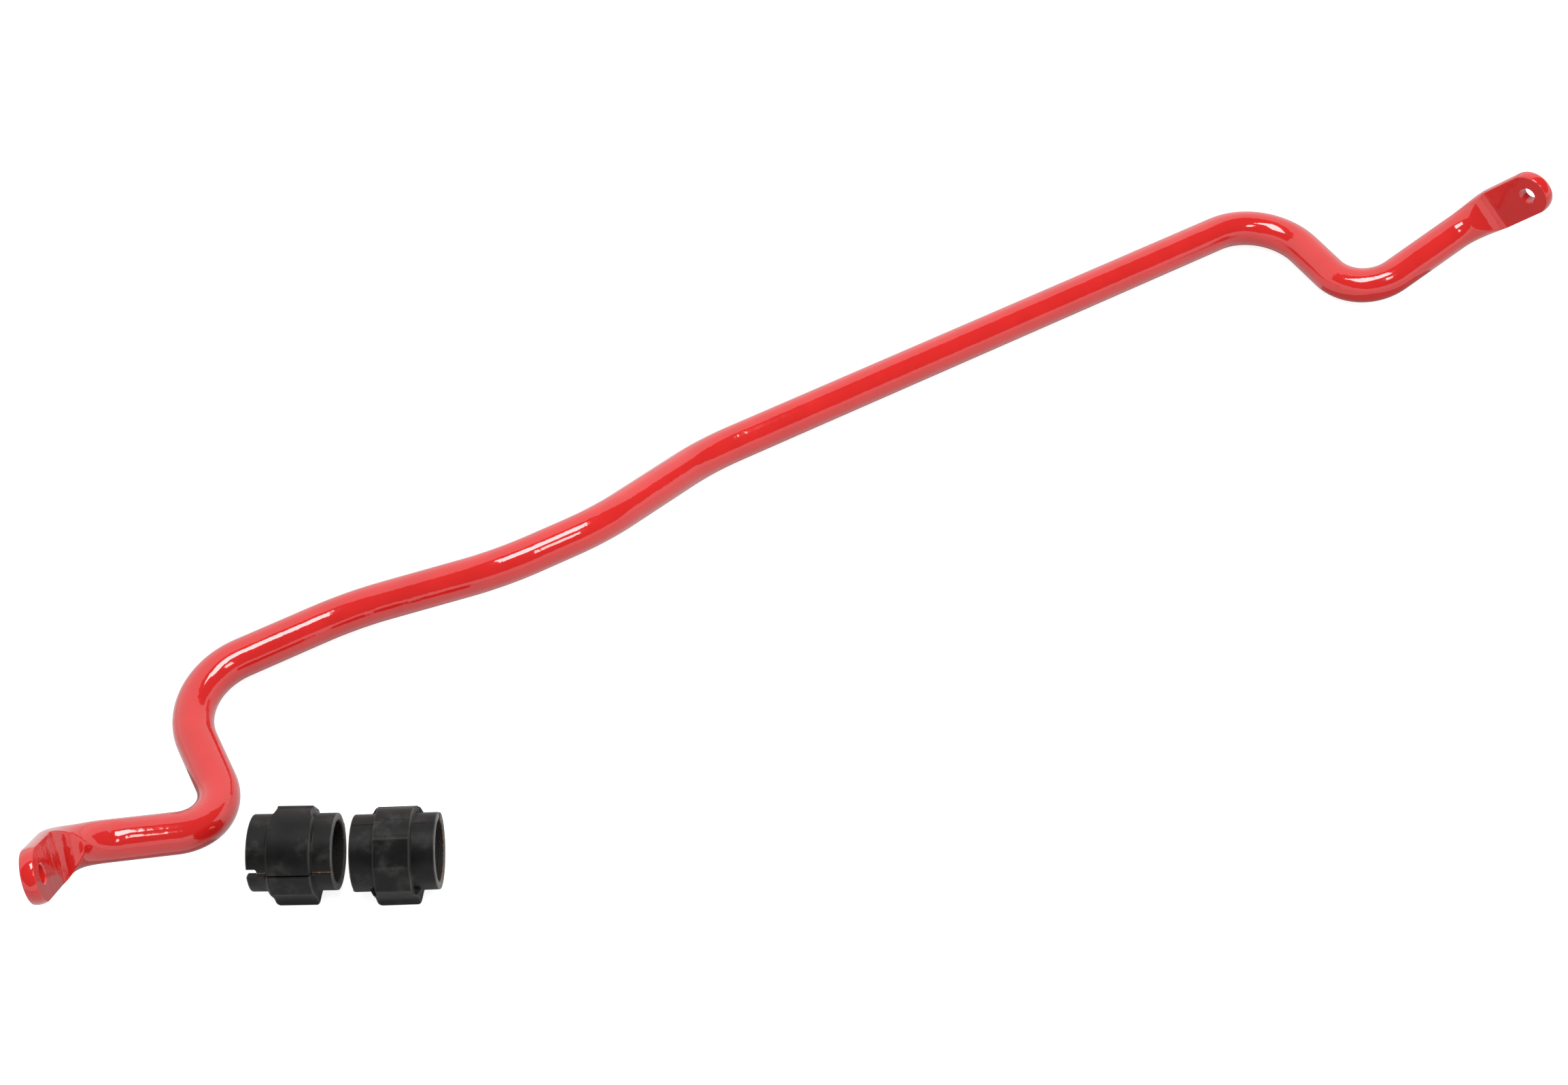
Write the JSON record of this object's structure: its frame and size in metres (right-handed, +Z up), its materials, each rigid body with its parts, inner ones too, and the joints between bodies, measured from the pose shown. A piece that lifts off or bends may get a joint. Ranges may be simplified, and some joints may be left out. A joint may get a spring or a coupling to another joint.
{
  "type": "sway bar",
  "caption": "Glossy red bent steel anti-roll bar with a central crank and flattened drilled eyes, with its split black rubber mounting bushes lying beside it.",
  "frame": {"origin": "under the middle of the whole set's box, on the surface the set lies on", "axes": "+X along the bar's torsion axis towards the right-hand eye, arms towards -Y, +Z up"},
  "size_m": [1.2214, 0.256, 0.1235],
  "materials": {
    "red_powder_coat": "gloss powder coat with slight orange peel",
    "bush_rubber": "satin moulded, scuffed",
    "woven_liner": "coarse low-friction weave"
  },
  "bodies": {
    "left_half": {"bar_left_half": "red_powder_coat"},
    "right_half": {"bar_right_half": "red_powder_coat"},
    "left_bush_base": {"left_bush_base": "bush_rubber", "left_bush_liner_lower": "woven_liner"},
    "left_bush_cap": {"left_bush_cap": "bush_rubber", "left_bush_liner_upper": "woven_liner"},
    "right_bush_base": {"right_bush_base": "bush_rubber", "right_bush_liner_lower": "woven_liner"},
    "right_bush_cap": {"right_bush_cap": "bush_rubber", "right_bush_liner_upper": "woven_liner"}
  },
  "joints": [
    {"name": "bar_twist", "type": "hinge", "parent": "left_half", "child": "right_half", "pos_m": [0.19143, 0.11401, 0.014], "axis": [1, 0, 0], "range_deg": [-12, 12], "stiffness_Nm_per_rad": 1500},
    {"name": "left_bush_lift_off", "type": "slide", "parent": "left_half", "child": "left_bush_base", "axis": [0, 0, 1], "range_m": [0, 0.15]},
    {"name": "left_bush_opening", "type": "hinge", "parent": "left_bush_base", "child": "left_bush_cap", "pos_m": [-0.44228, -0.036, 0.01254], "axis": [-0.8746, 0.4848, 0], "range_deg": [0, 42], "stiffness_Nm_per_rad": 1},
    {"name": "right_bush_lift_off", "type": "slide", "parent": "left_half", "child": "right_bush_base", "axis": [0, 0, 1], "range_m": [0, 0.15]},
    {"name": "right_bush_opening", "type": "hinge", "parent": "right_bush_base", "child": "right_bush_cap", "pos_m": [-0.41145, -0.1172, 0.01254], "axis": [0.8829, -0.4695, 0], "range_deg": [0, 42], "stiffness_Nm_per_rad": 1}
  ]
}
